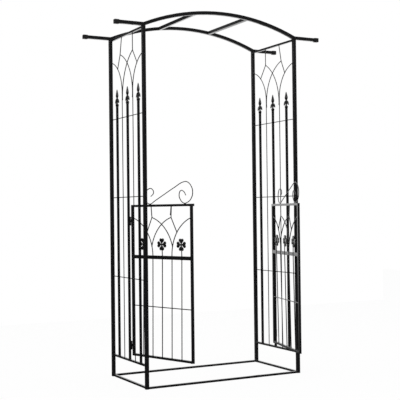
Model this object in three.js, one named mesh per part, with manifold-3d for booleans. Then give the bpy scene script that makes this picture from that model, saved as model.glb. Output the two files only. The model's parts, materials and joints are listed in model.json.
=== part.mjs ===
// Garden arch with a pair of gates: four square posts, two arched beams, two side panels
// with spear bars and wire tracery, and two gate leaves hung on the middle spear bars.
// Millimetres, Z up. The origin is the middle of the front left post's foot.
import * as THREE from 'three';
import { mergeVertices } from 'three/addons/utils/BufferGeometryUtils.js';
import Module from 'manifold-3d';

const wasm = await Module();
wasm.setup();

// Overall sizes of the arch
const archWidth = 966; // between post centres, across the walkway
const archDepth = 466; // between post centres, front to back
const armHeight = 1957; // beam axis above the ground, over the posts
const archRise = 98; // beam axis at the crown above the arms
const armReach = 169; // outer end of the cap beyond the post centre
const crossbarSpacing = 334; // between the two crossbar centres

// Square tubes
const postSize = 19; // posts, beams and crossbars
const postWall = 1.2;
const postCorner = 1.6; // outer corner radius
const postFloor = 2; // plate that closes a post's foot
const barSize = 12; // side rails, spear bars and ground bars
const barWall = 1.1;
const barCorner = 1.1;
const gateSize = 13; // stiles, top rail and bottom rail of a leaf
const gateWall = 1.1;
const gateCorner = 1.2;
const middleRailHeight = 20;

// Fits
const weldGap = 0.3; // hairline left at a welded or screwed joint
const slipGap = 0.3; // between a spigot or plug and the tube round it
const punchGap = 0.35; // round a wire in its punched hole
const cutOverrun = 1; // how far a cutting body runs past the face that it cuts

// Beam spigots and end caps
const spigotLength = 90; // down inside the post
const capLength = 27;
const capWall = 2.2;
const capFloor = 2.5;
const capEdge = 1.5;

// Side panels
const sideRailLow = 124; // axis of the bottom rail above the ground
const sideRailDrop = 12; // axis of the top rail below the beam's axis
const spearDrop = 392; // top of a spear bar below the top rail's axis
const sideWire = 5;

// Finials
const finialHeight = 98;
const finialHalfWidth = 24; // to the tip of a drooping leaf
const finialThickness = 7;
const finialEdge = 1.6; // chamfer round the blade
const collarRadius = 9.4;
const collarHeight = 24;
const finialPlug = 14; // depth of the plug in the spear bar

// Gates
const leafMeeting = 15; // between the two free stiles when both leaves are closed
const leftOpenAngle = 70.5; // degrees from closed
const rightOpenAngle = 76;
const hingeGap = 2; // between a closed leaf and its spear bar
const leftRailOverrun = 9; // left top rail past its free stile, to close the middle gap
const gateBottomHeight = 157; // axis of the bottom rail
const gateMiddleHeight = 700.4;
const gateTopHeight = 981.4;
const gateWireHeight = 430.4;
const gateWire = 5.4;

// Clovers
const cloverRise = 60.6; // centre above the middle rail
const cloverReach = 32.5; // centre to the top of a leaf
const cloverLobe = 8.5; // radius of a lobe
const cloverSpread = 7.5; // lobe centre off the leaf's middle line
const cloverSlit = 6.2; // width of the slit between two leaves
const cloverHub = 5.6; // centre to the root of a slit
const cloverThickness = 6;

// Crest scroll
const crestWire = 5;
const crestStart = 104; // from the hinge stile's centre to the small curl
const crestOverhang = 10; // large curl past the free stile's centre
const crestHeight = 117;

// Hinges
const hingeHeight = 47;
const hingeRise = 27; // lower hinge's end above the bottom rail's axis
const hingeDrop = 107.4; // upper hinge's lower end below the top rail's axis
const knuckleRadius = 3;
const knuckleGap = 0.4; // between two knuckles along the pin
const hingePinRadius = 1.6;
const hingeBoreRadius = 1.9;
const hingePlate = 1.5;
const hingeMargin = 0.6; // from the plate's edge to the tube's edge
const hingeClear = 0.4; // from a plate to the other half's knuckle
const hingeHeadRadius = 2.3;
const hingeHeadHeight = 1.6;

// Plugs in the ends of the gates' top rails
const plugFlange = 1.6;
const plugDepth = 12;
const plugEdge = 0.8;

// Divisions of round work
const beamSteps = 10; // half the straight steps in an arched beam
const wireSides = 6;
const arcSteps = 8;
const crestSteps = 42;
const roundSides = 10;
const holeSides = 8;
const knuckleSteps = 5; // half the steps round a knuckle
const lobeSteps = 3;

// Places worked out from the sizes above
const postX = archWidth / 2;
const postY = archDepth / 2;
const beamRadius = (postX * postX + archRise * archRise) / (2 * archRise);
const beamCentreZ = armHeight + archRise - beamRadius;
const panelX = postX - postSize / 2 + barSize / 2;
const panelHalf = postY - postSize / 2; // half the clear depth between two posts
const panelPitch = (2 * panelHalf) / 6;
const sideRailHigh = armHeight - sideRailDrop;
const spearTop = sideRailHigh - spearDrop;
const pinX = panelX - barSize / 2 - hingeGap / 2;
const pinY = -(barSize / 2 + weldGap + knuckleRadius);
const stileX = hingeGap / 2 + gateSize / 2; // from the pin to the hinge stile's centre
const leafY = -barSize / 2 + gateSize / 2 - pinY; // leaf's middle plane behind the pin
const leafSpan = pinX - leafMeeting / 2 - stileX - gateSize / 2; // between the stile centres
const leafHalf = leafSpan / 2;
const leafClear = leafSpan - gateSize;
const leafPitch = leafClear / 6;
const gateTopUnder = gateTopHeight - gateSize / 2;
const gateTopOver = gateTopHeight + gateSize / 2;
const gateSpring = gateMiddleHeight + middleRailHeight / 2; // rods start to bend here
const gateBay = gateTopUnder - gateSpring;

// Solids and meshes

function toSolid(geometry) {
  const bare = geometry.clone();
  bare.deleteAttribute('normal');
  bare.deleteAttribute('uv');
  const merged = mergeVertices(bare);
  const vertProperties = new Float32Array(merged.attributes.position.array);
  const triVerts = new Uint32Array(merged.index.array);
  return new wasm.Manifold(new wasm.Mesh({ numProp: 3, vertProperties, triVerts }));
}

function toGeometry(solid) {
  const { vertProperties, triVerts } = solid.getMesh();
  const geometry = new THREE.BufferGeometry();
  geometry.setAttribute('position', new THREE.BufferAttribute(vertProperties, 3));
  geometry.setIndex(new THREE.BufferAttribute(triVerts, 1));
  return geometry;
}

function join(geometries) {
  return geometries.map(toSolid).reduce((whole, piece) => whole.add(piece));
}

function cut(solid, cutters) {
  return cutters.map(toSolid).reduce((whole, cutter) => whole.subtract(cutter), solid);
}

function paint(color, roughness) {
  return new THREE.MeshStandardMaterial({ color, roughness, metalness: 0 });
}

function blackCoat() {
  return paint(0x1a1a1c, 0.42);
}

function blackPlastic() {
  return paint(0x131314, 0.55);
}

function addMesh(group, name, shape, material, position, rotation = [0, 0, 0]) {
  const geometry = shape.isBufferGeometry ? shape : toGeometry(shape);
  const mesh = new THREE.Mesh(geometry, material);
  mesh.name = name;
  mesh.position.set(...position);
  mesh.rotation.set(...rotation);
  group.add(mesh);
}

// Turns that lay a tube, modelled along Z, along X or along Y
const alongX = [0, Math.PI / 2, 0];
const alongY = [-Math.PI / 2, 0, 0];

// Outlines and tubes

// A rectangle round the origin, with its corners rounded in two steps or left sharp
function rectangle(width, height, corner = 0) {
  const points = [];
  const angles = corner > 0 ? [0, Math.PI / 4, Math.PI / 2] : [0];
  const signs = [
    [1, 1],
    [-1, 1],
    [-1, -1],
    [1, -1],
  ];
  for (const [quarter, [signX, signY]] of signs.entries()) {
    const turn = (quarter * Math.PI) / 2;
    const x = signX * (width / 2 - corner);
    const y = signY * (height / 2 - corner);
    for (const angle of angles) {
      const outX = corner * Math.cos(turn + angle);
      const outY = corner * Math.sin(turn + angle);
      points.push(new THREE.Vector2(x + outX, y + outY));
    }
  }
  return new THREE.Shape(points);
}

function prism(shape, length) {
  return new THREE.ExtrudeGeometry(shape, { depth: length, bevelEnabled: false, curveSegments: 1 });
}

// An open square tube that runs along Z from a given start
function squareTube(width, height, wall, corner, length, start = 0) {
  const body = prism(rectangle(width, height, corner), length);
  const inside = rectangle(width - 2 * wall, height - 2 * wall);
  const hollow = prism(inside, length + 2 * cutOverrun).translate(0, 0, -cutOverrun);
  return cut(toSolid(body.translate(0, 0, start)), [hollow.translate(0, 0, start)]);
}

function bar(length) {
  return squareTube(barSize, barSize, barWall, barCorner, length);
}

function gateBar(length) {
  return squareTube(gateSize, gateSize, gateWall, gateCorner, length);
}

// A punching tool across a tube, at a place along it
function punch(radius, reach, at, axis) {
  const tool = new THREE.CylinderGeometry(radius, radius, reach, holeSides);
  if (axis === 'x') {
    tool.rotateZ(Math.PI / 2);
  }
  return tool.translate(0, 0, at);
}

// Wire of a given thickness along a curve
function wireAlong(curve, thickness, steps) {
  const section = new THREE.Shape();
  for (let side = 0; side < wireSides; side += 1) {
    const angle = (2 * Math.PI * side) / wireSides;
    const x = (thickness / 2) * Math.cos(angle);
    const y = (thickness / 2) * Math.sin(angle);
    if (side === 0) {
      section.moveTo(x, y);
    } else {
      section.lineTo(x, y);
    }
  }
  return new THREE.ExtrudeGeometry(section, { steps, bevelEnabled: false, extrudePath: curve });
}

// A circular arc through three points of a flat panel; place(across, up) gives a point in space
class PanelArc extends THREE.Curve {
  constructor(first, middle, last, place) {
    super();
    const [ax, ay] = first;
    const [bx, by] = middle;
    const [cx, cy] = last;
    const twice = 2 * (ax * (by - cy) + bx * (cy - ay) + cx * (ay - by));
    const a2 = ax * ax + ay * ay;
    const b2 = bx * bx + by * by;
    const c2 = cx * cx + cy * cy;
    this.x = (a2 * (by - cy) + b2 * (cy - ay) + c2 * (ay - by)) / twice;
    this.y = (a2 * (cx - bx) + b2 * (ax - cx) + c2 * (bx - ax)) / twice;
    this.radius = Math.hypot(ax - this.x, ay - this.y);
    this.start = Math.atan2(ay - this.y, ax - this.x);
    const turn = Math.atan2(cy - this.y, cx - this.x) - this.start;
    this.turn = turn - 2 * Math.PI * Math.round(turn / (2 * Math.PI));
    this.place = place;
  }

  getPoint(share, target = new THREE.Vector3()) {
    const angle = this.start + this.turn * share;
    const across = this.x + this.radius * Math.cos(angle);
    const up = this.y + this.radius * Math.sin(angle);
    return target.copy(this.place(across, up));
  }
}

function straightWire(place, thickness, from, to) {
  const line = new THREE.LineCurve3(place(...from), place(...to));
  return wireAlong(line, thickness, 1);
}

function arcWire(place, thickness, first, middle, last) {
  return wireAlong(new PanelArc(first, middle, last, place), thickness, arcSteps);
}

// A straight wire that leans to its top and has the upper corner of its square end at a limit
function leaningWire(place, thickness, from, topAcross, limit) {
  const lean = Math.atan2(Math.abs(topAcross - from[0]), limit - from[1]);
  return straightWire(place, thickness, from, [topAcross, limit - (thickness / 2) * Math.sin(lean)]);
}

// A wire that starts upright and bends sideways in a circle, till the corner of its square end
// touches a limit about a given rise above its start
class BentWire {
  constructor(thickness, limit, rise) {
    const reach = limit - thickness / 2;
    this.radius = (reach * reach + rise * rise) / (2 * reach);
    this.travel = reach / (1 - thickness / (2 * this.radius));
    this.rise = Math.sqrt(this.travel * (2 * this.radius - this.travel));
  }

  sideways(rise) {
    return this.radius - Math.sqrt(this.radius * this.radius - rise * rise);
  }
}

// Arched beams

// Side outline of a beam whose edges lie a given distance from its axis
function beamOutline(half, endX) {
  const inner = beamRadius - half;
  const outer = beamRadius + half;
  const lowX = Math.sqrt(archRise * (2 * inner - archRise));
  const highX = Math.sqrt(archRise * (2 * outer - archRise));
  const lowAngle = Math.acos(lowX / inner);
  const highAngle = Math.acos(highX / outer);
  const shape = new THREE.Shape();
  shape.moveTo(-endX, armHeight + half);
  shape.lineTo(-endX, armHeight - half);
  shape.absarc(0, beamCentreZ, inner, Math.PI - lowAngle, lowAngle, true);
  shape.lineTo(endX, armHeight - half);
  shape.lineTo(endX, armHeight + half);
  shape.absarc(0, beamCentreZ, outer, highAngle, Math.PI - highAngle);
  return shape;
}

function beamBody(half, endX, edge) {
  const thickness = 2 * (half - edge);
  const geometry = new THREE.ExtrudeGeometry(beamOutline(half, endX), {
    depth: thickness,
    curveSegments: beamSteps,
    bevelEnabled: edge > 0,
    bevelThickness: edge,
    bevelSize: edge,
    bevelOffset: -edge,
    bevelSegments: 1,
  });
  return geometry.translate(0, 0, -thickness / 2).rotateX(Math.PI / 2);
}

function makeBeam() {
  const half = postSize / 2;
  const endX = postX + armReach - capFloor - weldGap;
  const spigotSize = postSize - 2 * (postWall + slipGap);
  const under = armHeight - half;
  const spigots = [-1, 1].map((side) => {
    const spigot = prism(rectangle(spigotSize, spigotSize), spigotLength + half);
    return spigot.translate(side * postX, 0, under - spigotLength);
  });
  const bores = [-1, 1].map((side) => {
    const boreSize = spigotSize - 2 * postWall;
    const bore = prism(rectangle(boreSize, boreSize), spigotLength + cutOverrun);
    return bore.translate(side * postX, 0, under - spigotLength - cutOverrun);
  });
  const hollow = beamBody(half - postWall, endX + cutOverrun, 0);
  return cut(join([beamBody(half, endX, postCorner), ...spigots]), [hollow, ...bores]);
}

// A square cap over the end of an arm, open towards -X
function makeEndCap() {
  const outside = postSize + 2 * (slipGap + capWall);
  const pocket = postSize + 2 * slipGap;
  const body = new THREE.ExtrudeGeometry(rectangle(outside, outside, postCorner + capWall), {
    depth: capLength - 2 * capEdge,
    curveSegments: 1,
    bevelThickness: capEdge,
    bevelSize: capEdge,
    bevelOffset: -capEdge,
    bevelSegments: 1,
  });
  body.translate(0, 0, capEdge);
  const room = prism(rectangle(pocket, pocket), capLength - capFloor + cutOverrun);
  room.translate(0, 0, -cutOverrun);
  return cut(toSolid(body), [room]);
}

// Posts

// A post, closed at its foot, with its top cut to the underside of the beam
function makePost(side) {
  const inside = postSize - 2 * postWall;
  const body = prism(rectangle(postSize, postSize, postCorner), armHeight);
  const hollow = prism(rectangle(inside, inside), armHeight).translate(0, 0, postFloor);
  const saddle = beamBody(postSize / 2 + weldGap, postX + postSize, 0);
  saddle.translate(-side * postX, 0, 0);
  return cut(toSolid(body), [hollow, saddle]);
}

// Side panels

// Heights of the cross wires, as shares of the way from the bottom rail to the spear bars' tops
const crossWireShares = [0.319, 0.6355, 0.951];
const crossWireHeights = crossWireShares.map((share) => sideRailLow + share * (spearTop - sideRailLow));

// Heights in the tracery above the spear bars, as shares of the way up to the top rail's axis
const sideTailShare = 0.082; // lower end of an inner arc's tail
const sideSpringShare = 0.184; // where a rod starts to bend into its outer arc
const sideStrutShare = 0.546; // a strut meets the outer arc
const sideCrossShare = 0.589; // the inner arcs cross on the middle line
const sidePostShare = 0.664; // an outer arc reaches the post
const sideApexShare = 0.742; // an inner arc ends

// Places off the panel's middle line, as shares of its pitch
const nearApexShare = 1.034;
const farApexShare = 1.329;
const sideRodTopShare = 1.034;
const spearColumnShares = { front: -2, middle: 0, back: 2 };

// A bar from the bottom side rail up to its finial, punched for the wires
function makeSpearBar() {
  const foot = sideRailLow + barSize / 2 + weldGap;
  const radius = sideWire / 2 + punchGap;
  const reach = barSize + 2 * cutOverrun;
  const holes = crossWireHeights.map((height) => punch(radius, reach, height - foot, 'y'));
  return cut(bar(spearTop - foot), holes);
}

// Half outline of the flat finial from its root to its tip, as shares of half width and height
const finialRootShares = [0.2, 0.12];
const finialStemShares = [0.2, 0.26];
const finialUnderShares = [0.52, 0.33, 1, 0.19];
const finialShoulderShares = [0.95, 0.42, 0.22, 0.485];
const finialBladeShares = [0.5, 0.55, 0.62, 0.63];
const finialTipShares = [0.45, 0.79, 0, 1];

function finialCurve(shape, shares, mirror) {
  const [controlX, controlY, endX, endY] = shares;
  shape.quadraticCurveTo(
    mirror * controlX * finialHalfWidth,
    controlY * finialHeight,
    mirror * endX * finialHalfWidth,
    endY * finialHeight,
  );
}

// The same curve walked from its end back to its start
function reversed(shares, before) {
  const [controlX, controlY] = shares;
  return [controlX, controlY, before[0], before[1]];
}

function finialBlade() {
  const [rootX, rootY] = finialRootShares;
  const shape = new THREE.Shape();
  shape.moveTo(-rootX * finialHalfWidth, rootY * finialHeight);
  shape.lineTo(rootX * finialHalfWidth, rootY * finialHeight);
  shape.lineTo(finialStemShares[0] * finialHalfWidth, finialStemShares[1] * finialHeight);
  finialCurve(shape, finialUnderShares, 1);
  finialCurve(shape, finialShoulderShares, 1);
  finialCurve(shape, finialBladeShares, 1);
  finialCurve(shape, finialTipShares, 1);
  finialCurve(shape, reversed(finialTipShares, finialBladeShares.slice(2)), -1);
  finialCurve(shape, reversed(finialBladeShares, finialShoulderShares.slice(2)), -1);
  finialCurve(shape, reversed(finialShoulderShares, finialUnderShares.slice(2)), -1);
  finialCurve(shape, reversed(finialUnderShares, finialStemShares), -1);
  const blade = new THREE.ExtrudeGeometry(shape, {
    depth: finialThickness - 2 * finialEdge,
    curveSegments: 3,
    bevelThickness: finialEdge,
    bevelSize: finialEdge,
    bevelOffset: -finialEdge,
    bevelSegments: 1,
  });
  blade.translate(0, 0, finialEdge - finialThickness / 2);
  return blade.rotateX(Math.PI / 2).rotateZ(Math.PI / 2);
}

// Flared round collar between the blade and the bar, as shares of its radius and height
const collarShares = [
  [0, 0],
  [1, 0],
  [1, 0.16],
  [0.62, 0.5],
  [0.5, 1],
  [0, 1],
];

function makeFinial() {
  const profile = collarShares.map(
    ([out, up]) => new THREE.Vector2(out * collarRadius, up * collarHeight),
  );
  const collar = new THREE.LatheGeometry(profile, roundSides).rotateX(Math.PI / 2);
  const plugSize = barSize - 2 * (barWall + slipGap);
  const plug = prism(rectangle(plugSize, plugSize), finialPlug + cutOverrun);
  plug.translate(0, 0, -finialPlug);
  return join([finialBlade(), collar, plug]);
}

// Rods, wires and arcs of a side panel, welded into one piece; the panel is one pattern, turned
// half a turn for the other side, so its far apex is at the back on the left and in front on the right
function makeSideTracery(panelSide) {
  const place = (across, up) => new THREE.Vector3(0, across, up);
  const wire = sideWire;
  const low = sideRailLow + barSize / 2 + weldGap;
  const high = sideRailHigh - barSize / 2 - weldGap;
  const wireEnd = panelHalf - weldGap;
  const upTo = (share) => spearTop + share * spearDrop;
  const spring = upTo(sideSpringShare);
  const bent = new BentWire(wire, wireEnd - panelPitch, upTo(sidePostShare) - spring);
  const tailInset = wire - 2 * weldGap;
  const pieces = crossWireHeights.map((height) =>
    straightWire(place, wire, [-wireEnd, height], [wireEnd, height]),
  );
  for (const side of [-1, 1]) {
    const rodY = side * panelPitch;
    const apexShare = side === panelSide ? nearApexShare : farApexShare;
    const apex = [rodY * apexShare, upTo(sideApexShare)];
    const tail = [side * tailInset - rodY, upTo(sideTailShare)];
    const outerAt = (rise) => [side * (panelPitch + bent.sideways(rise)), spring + rise];
    pieces.push(
      straightWire(place, wire, [rodY, low], [rodY, spring + wire]),
      arcWire(place, wire, outerAt(0), outerAt(bent.rise / 2), outerAt(bent.rise)),
      arcWire(place, wire, tail, [0, upTo(sideCrossShare)], apex),
      straightWire(place, wire, apex, outerAt(upTo(sideStrutShare) - spring)),
      leaningWire(place, wire, apex, rodY * sideRodTopShare, high),
    );
  }
  return join(pieces);
}

// Gate leaves, modelled closed in the frame of their hinge pin

// One clover of four notched leaves, flat in the leaf's plane
function cloverPlate() {
  const shape = new THREE.Shape();
  const lobeUp = cloverReach - cloverLobe;
  const notch = Math.atan2(Math.sqrt(cloverLobe ** 2 - cloverSpread ** 2), -cloverSpread);
  const skirt = -Math.PI / 6;
  const root = cloverHub * Math.SQRT1_2;
  const slit = (cloverSlit / 2) * Math.SQRT1_2;
  for (let leaf = 0; leaf < 4; leaf += 1) {
    const turn = (leaf * Math.PI) / 2;
    const cos = Math.cos(turn);
    const sin = Math.sin(turn);
    const spun = (x, y) => [x * cos - y * sin, x * sin + y * cos];
    const lobe = (side, from, to, firstStep) => {
      const [x, y] = spun(side * cloverSpread, lobeUp);
      for (let step = firstStep; step <= lobeSteps; step += 1) {
        const angle = turn + from + ((to - from) * step) / lobeSteps;
        shape.lineTo(x + cloverLobe * Math.cos(angle), y + cloverLobe * Math.sin(angle));
      }
    };
    if (leaf === 0) {
      shape.moveTo(...spun(root - slit, root + slit));
    } else {
      shape.lineTo(...spun(root - slit, root + slit));
    }
    lobe(1, skirt, notch, 0);
    lobe(-1, Math.PI - notch, Math.PI - skirt, 1);
    shape.lineTo(...spun(slit - root, root + slit));
  }
  const plate = prism(shape, cloverThickness).translate(0, 0, -cloverThickness / 2);
  return plate.rotateX(Math.PI / 2);
}

// Heights in a leaf's tracery, as shares of the bay between its middle and top rails
const gateTailShare = 0.1875; // an inner arc leaves the outer arc
const gateStrutShare = 0.479; // a strut meets the outer arc
const gateCrossShare = 0.641; // the inner arcs cross on the middle line
const gateStileShare = 0.768; // an outer arc reaches the stile
const gateApexShare = 0.781; // an inner arc ends

// Top of a leaf's upper rod, as a share of the pitch off the middle line
const gateRodTopShare = 1.06;

// Rods, wire, arcs and clovers of a leaf, welded into one piece
function makeGateTracery(dir) {
  const place = (across, up) => new THREE.Vector3(dir * across, 0, up);
  const wire = gateWire;
  const low = gateBottomHeight + gateSize / 2 + weldGap;
  const wireEnd = leafClear / 2 - weldGap;
  const bent = new BentWire(wire, wireEnd - leafPitch, gateStileShare * gateBay);
  const high = gateTopUnder - weldGap;
  const upTo = (share) => gateSpring + share * gateBay;
  const cloverHeight = gateSpring + cloverRise;
  const pieces = [
    straightWire(place, wire, [-wireEnd, gateWireHeight], [wireEnd, gateWireHeight]),
  ];
  for (const column of [-2, 0, 2]) {
    const rodX = column * leafPitch;
    pieces.push(straightWire(place, wire, [rodX, low], [rodX, cloverHeight]));
    pieces.push(cloverPlate().translate(dir * rodX, 0, cloverHeight));
  }
  for (const side of [-1, 1]) {
    const rodX = side * leafPitch;
    const outerAt = (rise) => [side * (leafPitch + bent.sideways(rise)), gateSpring + rise];
    const tail = outerAt(gateTailShare * gateBay);
    const apex = [rodX, upTo(gateApexShare)];
    pieces.push(
      straightWire(place, wire, [rodX, low], [rodX, gateSpring + wire]),
      arcWire(place, wire, outerAt(0), outerAt(bent.rise / 2), outerAt(bent.rise)),
      arcWire(place, wire, tail, [0, upTo(gateCrossShare)], [-rodX, upTo(gateApexShare)]),
      straightWire(place, wire, apex, outerAt(gateStrutShare * gateBay)),
      leaningWire(place, wire, apex, rodX * gateRodTopShare, high),
    );
  }
  return join(pieces);
}

// Points of the crest scroll, as shares of its length and height, from the small curl's inner
// end round that curl, up the long slope, and round the large curl to its inner end
const crestShares = [
  [0.12, 0.35],
  [0.18, 0.52],
  [0.15, 0.69],
  [0.085, 0.72],
  [0.018, 0.57],
  [0, 0.31],
  [0.036, 0.07],
  [0.106, 0],
  [0.2, 0.13],
  [0.43, 0.46],
  [0.64, 0.755],
  [0.806, 0.965],
  [0.89, 0.965],
  [0.97, 0.77],
  [1, 0.5],
  [0.965, 0.2],
  [0.885, 0.035],
  [0.82, 0.01],
  [0.748, 0.17],
  [0.723, 0.385],
  [0.757, 0.58],
  [0.82, 0.53],
  [0.86, 0.36],
];

function makeCrest(dir) {
  const crestLength = leafSpan - crestStart + crestOverhang;
  const points = crestShares.map(
    ([along, up]) => new THREE.Vector3(dir * along * crestLength, 0, up * crestHeight),
  );
  const curve = new THREE.CatmullRomCurve3(points, false, 'centripetal');
  return wireAlong(curve, crestWire, crestSteps);
}

// The middle rail runs along Z here, with its height along X, and is punched for the five rods
function makeMiddleRail() {
  const length = leafClear - 2 * weldGap;
  const rail = squareTube(middleRailHeight, gateSize, gateWall, gateCorner, length, -length / 2);
  const radius = gateWire / 2 + punchGap;
  const reach = middleRailHeight + 2 * cutOverrun;
  const holes = [-2, -1, 0, 1, 2].map((column) => punch(radius, reach, column * leafPitch, 'x'));
  return cut(rail, holes);
}

// A plug for the end of a top rail, with its flange on the +Z side of the origin
function makePlug() {
  const size = gateSize - 2 * (gateWall + slipGap);
  const flange = new THREE.ExtrudeGeometry(rectangle(gateSize, gateSize, gateCorner), {
    depth: plugFlange - plugEdge,
    curveSegments: 1,
    bevelThickness: plugEdge,
    bevelSize: plugEdge,
    bevelOffset: -plugEdge,
    bevelSegments: 1,
  });
  const room = prism(rectangle(2 * gateSize, 2 * gateSize), gateSize).translate(0, 0, -gateSize);
  const stem = prism(rectangle(size, size), plugDepth + plugFlange / 2);
  stem.translate(0, 0, -plugDepth);
  return cut(toSolid(flange), [room]).add(toSolid(stem));
}

// Hinges, modelled round the middle of their pin, with the plate towards +X

const knuckleLength = (hingeHeight - 2 * knuckleGap) / 3;

// One half: a plate rolled round the pin and notched where the other half's knuckles go
function hingeHalf(plateEnd, notches) {
  const under = knuckleRadius - hingePlate;
  const shape = new THREE.Shape();
  shape.moveTo(plateEnd, under);
  shape.lineTo(plateEnd, knuckleRadius);
  shape.absarc(0, 0, knuckleRadius, Math.PI / 2, 2 * Math.PI + Math.asin(under / knuckleRadius));
  const plate = new THREE.ExtrudeGeometry(shape, {
    depth: hingeHeight,
    curveSegments: knuckleSteps,
    bevelEnabled: false,
  });
  plate.translate(0, 0, -hingeHeight / 2);
  const reach = 2 * (knuckleRadius + hingeClear);
  const tools = notches.map(([low, high]) => {
    const tool = new THREE.BoxGeometry(reach, reach, high - low);
    return tool.translate(0, 0, (low + high) / 2);
  });
  return cut(toSolid(plate), tools);
}

// The half on the spear bar, with the riveted pin
function makeFixedHinge() {
  const plateEnd = hingeGap / 2 + barSize - hingeMargin;
  const notch = knuckleLength / 2 + knuckleGap;
  const end = hingeHeight / 2;
  const tip = hingeHeadRadius / 2;
  const profile = [
    [0, -end - hingeHeadHeight],
    [tip, -end - hingeHeadHeight],
    [hingeHeadRadius, -end],
    [hingePinRadius, -end + knuckleLength / 2],
    [hingePinRadius, end - knuckleLength / 2],
    [hingeHeadRadius, end],
    [tip, end + hingeHeadHeight],
    [0, end + hingeHeadHeight],
  ].map(([out, up]) => new THREE.Vector2(out, up));
  const pin = new THREE.LatheGeometry(profile, roundSides).rotateX(Math.PI / 2);
  return hingeHalf(plateEnd, [[-notch, notch]]).add(toSolid(pin));
}

// The half on the stile, bored for the pin
function makeMovingHinge() {
  const plateEnd = hingeGap / 2 + gateSize - hingeMargin;
  const low = knuckleLength / 2;
  const high = hingeHeight / 2 + cutOverrun;
  const bore = new THREE.CylinderGeometry(hingeBoreRadius, hingeBoreRadius, 2 * high, roundSides);
  const half = hingeHalf(plateEnd, [[low, high], [-high, -low]]);
  return cut(half, [bore.rotateX(Math.PI / 2)]);
}

// The arch, put together about the middle of its ground rectangle

const arch = new THREE.Group();
const sides = { left: -1, right: 1 };
const ends = { front: -1, back: 1 };

for (const [endName, end] of Object.entries(ends)) {
  addMesh(arch, `${endName}_arch_beam`, makeBeam(), blackCoat(), [0, end * postY, 0]);
  const groundLength = archWidth - postSize - 2 * weldGap;
  const groundPlace = [-groundLength / 2, end * postY, barSize / 2];
  addMesh(arch, `${endName}_ground_bar`, bar(groundLength), blackCoat(), groundPlace, alongX);
  for (const [sideName, side] of Object.entries(sides)) {
    const corner = `${endName}_${sideName}`;
    addMesh(arch, `${corner}_post`, makePost(side), blackCoat(), [side * postX, end * postY, 0]);
    const capX = side * (postX + armReach - capLength);
    const turn = [0, (side * Math.PI) / 2, 0];
    addMesh(arch, `${corner}_end_cap`, makeEndCap(), blackPlastic(), [capX, end * postY, armHeight], turn);
  }
}

const bayLength = 2 * (panelHalf - weldGap);
const crossbarX = crossbarSpacing / 2;
const crossbarZ = beamCentreZ + Math.sqrt(beamRadius ** 2 - crossbarX ** 2);

for (const [sideName, side] of Object.entries(sides)) {
  const crossbar = squareTube(postSize, postSize, postWall, postCorner, bayLength);
  const tilt = [-Math.PI / 2, 0, side * Math.asin(crossbarX / beamRadius)];
  const start = -bayLength / 2;
  addMesh(arch, `${sideName}_crossbar`, crossbar, blackCoat(), [side * crossbarX, start, crossbarZ], tilt);
  const x = side * panelX;
  const rails = { ground_bar: barSize / 2, bottom_side_rail: sideRailLow, top_side_rail: sideRailHigh };
  for (const [railName, z] of Object.entries(rails)) {
    addMesh(arch, `${sideName}_${railName}`, bar(bayLength), blackCoat(), [x, start, z], alongY);
  }
  const foot = sideRailLow + barSize / 2 + weldGap;
  for (const [placeName, share] of Object.entries(spearColumnShares)) {
    const y = share * panelPitch;
    addMesh(arch, `${sideName}_${placeName}_spear_bar`, makeSpearBar(), blackCoat(), [x, y, foot]);
    const seat = [x, y, spearTop + weldGap];
    addMesh(arch, `${sideName}_${placeName}_finial`, makeFinial(), blackCoat(), seat);
  }
  addMesh(arch, `${sideName}_side_tracery`, makeSideTracery(side), blackCoat(), [x, 0, 0]);
}

// The gates, hung on their pins and turned open

const hinges = { lower: gateBottomHeight + hingeRise, upper: gateTopHeight - hingeDrop };

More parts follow.
